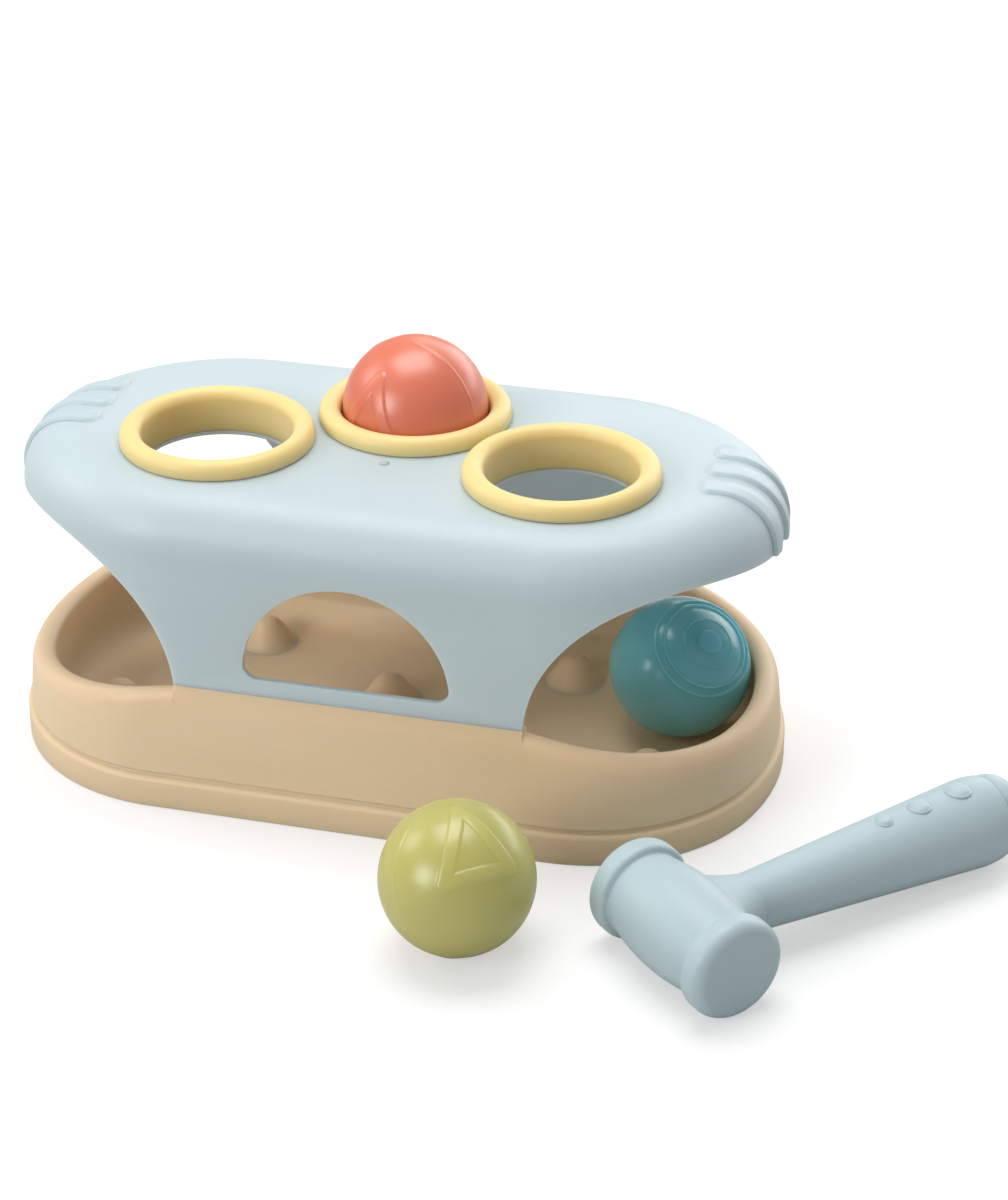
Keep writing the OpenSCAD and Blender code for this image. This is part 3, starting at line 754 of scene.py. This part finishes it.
def ringedBall(name, node, settings):
    # a half circle with raised bands, turned about the pole that faces the given way
    s = settings
    radius = ballRadius(node)
    profile = []
    for angle in np.linspace(0, 180, s["rows"]):
        rise = 0
        for start, end in s["bands"]:
            rise = max(rise, smoothStep((angle - start) / s["edge"]) * smoothStep((end - angle) / s["edge"]))
        t = math.radians(angle)
        reach = radius - s["height"] + s["height"] * rise
        profile.append((reach * math.sin(t), reach * math.cos(t)))
    return lathe(name, profile, s["steps"], facing(node, s["towards"]))


finishPiece(ringedBall("ballTealLook", "ball_teal", tealBall), "ball_teal", "teal_ball",
            tealVinyl, 60)

# one raised band shape on both other balls: a tall triangle, in millimetres about its own middle
triangleBand = {"corners": [(0.3, 15.0), (10.5, -7.0), (-11.0, -7.4)], "round": 2.2, "band": 4.0, "edge": 0.9,
                "height": 0.5, "seamWidth": 0.8, "seamHeight": 0.16, "nearSide": 0.4, "steps": 180}


def cornerDistance(p, corners):
    # signed distance of a point from a triangle, negative inside
    nearest, inside = math.inf, True
    for k in range(len(corners)):
        ax, ay = corners[k]
        bx, by = corners[(k + 1) % len(corners)]
        ex, ey = bx - ax, by - ay
        wx, wy = p[0] - ax, p[1] - ay
        t = min(max((wx * ex + wy * ey) / (ex * ex + ey * ey), 0), 1)
        nearest = min(nearest, math.hypot(wx - t * ex, wy - t * ey))
        inside = inside and ex * wy - ey * wx < 0
    return -nearest if inside else nearest


def bandedBall(name, node, settings):
    # a sphere whose points carry the raised triangles and the mould's seam
    s = triangleBand
    radius = ballRadius(node)
    place = Vector(nodeCentre(node))
    seam = Vector(settings["seam"]).normalized()
    frames = []
    for towards in settings["towards"]:
        c = Vector(towards).normalized()
        across = Vector((0, 0, 1)).cross(c).normalized()
        frames.append((c, across, c.cross(across)))
    verts = []
    for i in range(s["steps"] + 1):
        for j in range(2 * s["steps"]):
            t, u = math.pi * i / s["steps"], math.pi * j / s["steps"]
            n = Vector((math.sin(t) * math.cos(u), math.sin(t) * math.sin(u), math.cos(t)))
            rise = 0
            for c, across, up in frames:
                if n.dot(c) > s["nearSide"]:
                    spot = (n.dot(across) * radius, n.dot(up) * radius)
                    away = cornerDistance(spot, s["corners"]) - s["round"]
                    band = abs(away + s["band"] / 2) - s["band"] / 2
                    rise = max(rise, s["height"] * float(smoothStep(0.5 - band / s["edge"])))
            ridge = abs(n.dot(seam)) * radius
            rise = max(rise, s["seamHeight"] * float(smoothStep(1 - ridge / s["seamWidth"])))
            verts.append(place + n * (radius - s["height"] + rise))
    return weld(makeObject(name, verts, gridFaces(s["steps"] + 1, 2 * s["steps"], closeColumns=True)))


greenBall = {"towards": [(0.357, -0.5, 0.79), (-0.357, 0.5, -0.79)], "seam": (0.778, -0.485, 0.40)}
finishPiece(bandedBall("ballGreenLook", "ball_green", greenBall), "ball_green", "green_ball",
            oliveVinyl, 60)
coralBall = {"towards": [(-0.433, -0.897, 0.08), (0.433, 0.897, -0.08)], "seam": (0.345, 0.937, 0.061)}
finishPiece(bandedBall("ballCoralLook", "ball_coral", coralBall), "ball_coral", "coral_ball",
            coralVinyl, 60)
print("balls made")


# Hammer: X along the head, Y along the grip, in the hammer's own place
hammer = {
    "place": (123.2, -118.9, 16.6), "turn": -43.2, "flange": 16.6, "headHalf": 29.5, "flangeThick": 9,
    "faceRound": 4, "backRound": 1.8, "barrelMid": 16.5, "barrelEnd": 13.9, "saddleHigh": 12.6, "saddleWide": 19.5,
    "saddleStart": 3, "saddleEnd": 25, "widePower": 1.25, "highPower": 1.6, "boxPower": 0.62,
    "neck": 9.4, "spigot": 4, "spigotStep": 0.6, "grip": 14.8, "gripFull": 112, "gripEnd": 119, "gripRound": 0.7,
    "reach": 131, "seamDrop": 0.5, "capRound": 9, "capGap": 0.02, "capStep": 0.5, "capRise": 0.6, "air": 0.3,
    "blend": 0.5, "smoothing": 6, "steps": 128, "barrelSteps": 24, "backSteps": 8, "faceSteps": 12,
    "saddleSteps": 24, "saddleRing": 64, "gripSteps": 40, "seamSteps": 12, "roundSteps": 5, "capSteps": 16}


def hammerFrame():
    s = hammer
    tip = math.asin((s["flange"] - s["grip"] - s["air"]) / s["gripFull"])
    return (Matrix.Translation(s["place"]) @ Matrix.Rotation(math.radians(s["turn"]), 4, "Z")
            @ Matrix.Rotation(-tip, 4, "X"))


alongHead = Matrix.Rotation(math.radians(90), 4, "Y")
alongGrip = Matrix.Rotation(math.radians(-90), 4, "X")


def buildHead():
    s = hammer
    step = s["headHalf"] - s["flangeThick"]
    side = [(s["barrelMid"] - (s["barrelMid"] - s["barrelEnd"]) * t * t, step * t)
            for t in np.linspace(0, 1, s["barrelSteps"])]
    back, face = s["backRound"], s["faceRound"]
    side += arcPoints((s["flange"] - back, step + back), back, -90, 0, s["backSteps"])
    side += arcPoints((s["flange"] - face, s["headHalf"] - face), face, 0, 90, s["faceSteps"])
    side.append((0, s["headHalf"]))
    profile = [(r, -h) for r, h in side[:0:-1]] + side
    barrel = lathe("barrel", profile, s["steps"], hammerFrame() @ alongHead)
    # the saddle: a web as wide as the barrel that narrows to the round neck
    steps, ring = s["saddleSteps"], s["saddleRing"]
    verts = []
    for t in np.linspace(0, 1, steps):
        wide = s["neck"] + (s["saddleWide"] - s["neck"]) * (1 - t) ** s["widePower"]
        high = s["neck"] + (s["saddleHigh"] - s["neck"]) * (1 - t) ** s["highPower"]
        along = s["saddleStart"] + (s["saddleEnd"] - s["saddleStart"]) * t
        # boxy at the barrel, round at the neck
        power = s["boxPower"] + (1 - s["boxPower"]) * t
        for u in np.linspace(0, 2 * math.pi, ring, endpoint=False):
            c, d = math.cos(u), math.sin(u)
            x = wide * math.copysign(abs(c) ** power, c)
            z = high * math.copysign(abs(d) ** power, d)
            verts.append(hammerFrame() @ Vector((x, along, z)))
    faces = gridFaces(steps, ring, closeColumns=True)
    faces += [tuple(range(ring)), tuple(range((steps - 1) * ring, steps * ring))]
    flare = weld(makeObject("saddle", verts, faces))
    head = joined("hammerHeadLook", [barrel, flare])
    blend = head.modifiers.new("blend", "REMESH")
    blend.mode = "VOXEL"
    blend.voxel_size = s["blend"] * mm
    soften = head.modifiers.new("soften", "SMOOTH")
    soften.iterations = s["smoothing"]
    return finishPiece(joined("hammerHeadLook", [head]), "hammer_head", "hammer",
                       hammerPlastic, 60)


# places as shares of the hammer's reach, radii as shares of the grip's
gripDots = {"along": (0.584, 0.692, 0.812), "radius": (0.205, 0.27, 0.305), "height": 1.0, "power": 5, "sink": 3}


def gripRadius(along):
    s = hammer
    return s["neck"] + (s["grip"] - s["neck"]) * (along - s["saddleEnd"]) / (s["gripFull"] - s["saddleEnd"])


def buildHandle():
    s = hammer
    start = s["saddleEnd"] - s["spigot"]
    profile = [(0, start), (s["neck"] - s["spigotStep"], start)]
    profile += [(gripRadius(y), y) for y in np.linspace(s["saddleEnd"], s["gripFull"], s["gripSteps"])]
    corner = s["gripRound"]
    edge, top = s["grip"] - s["seamDrop"], s["gripEnd"] - corner
    for t in np.linspace(0, 1, s["seamSteps"])[1:]:
        profile.append((s["grip"] - s["seamDrop"] * t * t, s["gripFull"] + (top - s["gripFull"]) * t))
    profile += arcPoints((edge - corner, top), corner, 0, 90, s["roundSteps"])[1:]
    profile.append((0, s["gripEnd"]))
    grip = lathe("grip", profile, s["steps"], hammerFrame() @ alongGrip)
    alongs = [share * s["reach"] for share in gripDots["along"]]
    dots = makeObject("gripDots", [(0, y, gripRadius(y)) for y in alongs], [])
    storeAttribute(dots, "size", gripDots["radius"])
    sizes = {"Radius": s["grip"] * mm, "Height": gripDots["height"] * mm, "Power": gripDots["power"],
             "Sink": gripDots["sink"] * mm}
    useTree(dots, domeTree, sizes, hammerPlastic)
    dots.matrix_world = Matrix.Scale(mm, 4) @ hammerFrame() @ Matrix.Scale(1 / mm, 4)
    return finishPiece(joined("hammerHandleLook", [grip, dots]), "hammer_handle", "hammer",
                       hammerPlastic, 50)


def buildCap():
    s = hammer
    edge = s["grip"] - s["seamDrop"] - s["gripRound"]
    foot = s["gripEnd"] + s["capGap"]
    start = s["reach"] - s["capRound"]
    profile = [(0, foot), (edge - s["capStep"], foot), (edge, s["gripEnd"] + s["capRise"])]
    profile += [(edge * math.cos(t), start + s["capRound"] * math.sin(t))
                for t in np.linspace(0, math.pi / 2, s["capSteps"])]
    cap = lathe("hammerCapLook", profile, s["steps"], hammerFrame() @ alongGrip)
    return finishPiece(cap, "hammer_end_cap", "hammer", hammerPlastic, 50)


buildHead()
buildHandle()
buildCap()
print("hammer made")


# Studio: pale floor, soft light from above, from the left and from behind, and a camera at the photo's place
studioFloor = {"half": 4000, "page": "#F4F4F4", "roughness": 0.6, "specular": 0.2, "ownLight": 1.12,
               "ownShare": 0.42, "bounce": "#CACACA"}


def buildFloor():
    s = studioFloor
    half = s["half"]
    floor = makeObject("studioFloor", [(-half, -half, 0), (half, -half, 0), (half, half, 0), (-half, half, 0)],
                       [(0, 1, 2, 3)])
    material, tree, shader = newMaterial("white studio sweep")
    # the sweep reads as a white page: partly its own light to the camera, a plain grey to the toy
    shader.inputs["Base Color"].default_value = colour(s["page"])
    shader.inputs["Roughness"].default_value = s["roughness"]
    shader.inputs["Specular IOR Level"].default_value = s["specular"]
    page = addNode(tree, "ShaderNodeEmission", {"Color": (1, 1, 1, 1), "Strength": s["ownLight"]})
    bounce = addNode(tree, "ShaderNodeBsdfDiffuse", {"Color": colour(s["bounce"])})
    lifted = addNode(tree, "ShaderNodeMixShader", {0: s["ownShare"], 1: shader.outputs[0], 2: page.outputs[0]})
    seen = addNode(tree, "ShaderNodeLightPath").outputs["Is Camera Ray"]
    both = addNode(tree, "ShaderNodeMixShader", {0: seen, 1: bounce.outputs[0], 2: lifted.outputs[0]})
    tree.links.new(both.outputs[0], tree.nodes["Material Output"].inputs["Surface"])
    floor.data.materials.append(material)


# places, targets and sizes in metres, power in watts
studioLights = {
    "overhead": {"place": (-0.1, 0.2, 1.3), "target": (0.03, 0, 0.05), "size": (1.0, 0.8), "power": 11.5},
    "leftFront": {"place": (-0.95, -1.35, 0.75), "target": (0, 0, 0.05), "size": (0.8, 0.7), "power": 11.5},
    "left": {"place": (-1.1, 0.1, 0.75), "target": (-0.08, 0, 0.02), "size": (0.5, 0.5), "power": 2.5},
    "back": {"place": (0.3, 1.6, 0.9), "target": (0, 0, 0.08), "size": (1.6, 0.7), "power": 6},
    "backLow": {"place": (0.6, 1.1, 0.32), "target": (0.05, 0, 0.03), "size": (1.2, 0.4), "power": 4}}


def buildLight(name, settings):
    lamp = bpy.data.lights.new(name, "AREA")
    lamp.shape = "RECTANGLE"
    lamp.size, lamp.size_y = settings["size"]
    lamp.energy = settings["power"]
    obj = bpy.data.objects.new(name, lamp)
    obj.location = settings["place"]
    beam = Vector(settings["target"]) - Vector(settings["place"])
    obj.rotation_euler = beam.to_track_quat("-Z", "Y").to_euler()
    bpy.context.scene.collection.objects.link(obj)


studioWorld = {"toToy": 0.4, "toCamera": 1.0}


def buildWorld():
    world = bpy.data.worlds.new("studio")
    world.use_nodes = True
    tree = world.node_tree
    seen = addNode(tree, "ShaderNodeLightPath").outputs["Is Camera Ray"]
    level = addNode(tree, "ShaderNodeMix", {
        "Factor": seen, "A": studioWorld["toToy"], "B": studioWorld["toCamera"]})
    background = tree.nodes["Background"]
    background.inputs["Color"].default_value = (1, 1, 1, 1)
    tree.links.new(level.outputs[0], background.inputs["Strength"])
    bpy.context.scene.world = world


# angles in degrees, lengths in millimetres, clipping in metres
shot = {"turn": 14.57, "rise": 28.61, "distance": 1024.56, "aimRight": 34.73, "aimUp": -0.08, "aimHeight": 50,
        "lens": 90, "sensor": 36, "near": 0.01, "far": 20}


def buildCamera():
    turn, rise = math.radians(shot["turn"]), math.radians(shot["rise"])
    back = Vector((math.sin(turn) * math.cos(rise), -math.cos(turn) * math.cos(rise), math.sin(rise)))
    right = Vector((math.cos(turn), math.sin(turn), 0))
    up = back.cross(right)
    aim = Vector((0, 0, shot["aimHeight"])) + right * shot["aimRight"] + up * shot["aimUp"]
    data = bpy.data.cameras.new("camera")
    data.lens = shot["lens"]
    data.sensor_width = shot["sensor"]
    data.clip_start, data.clip_end = shot["near"], shot["far"]
    camera = bpy.data.objects.new("camera", data)
    camera.matrix_world = Matrix.Translation((aim + back * shot["distance"]) * mm) @ Matrix(
        (right, up, back)).transposed().to_4x4()
    bpy.context.scene.collection.objects.link(camera)
    bpy.context.scene.camera = camera


buildFloor()
buildWorld()
for name, settings in studioLights.items():
    buildLight(name, settings)
buildCamera()
bpy.context.scene.view_settings.view_transform = "Standard"
print("studio made")
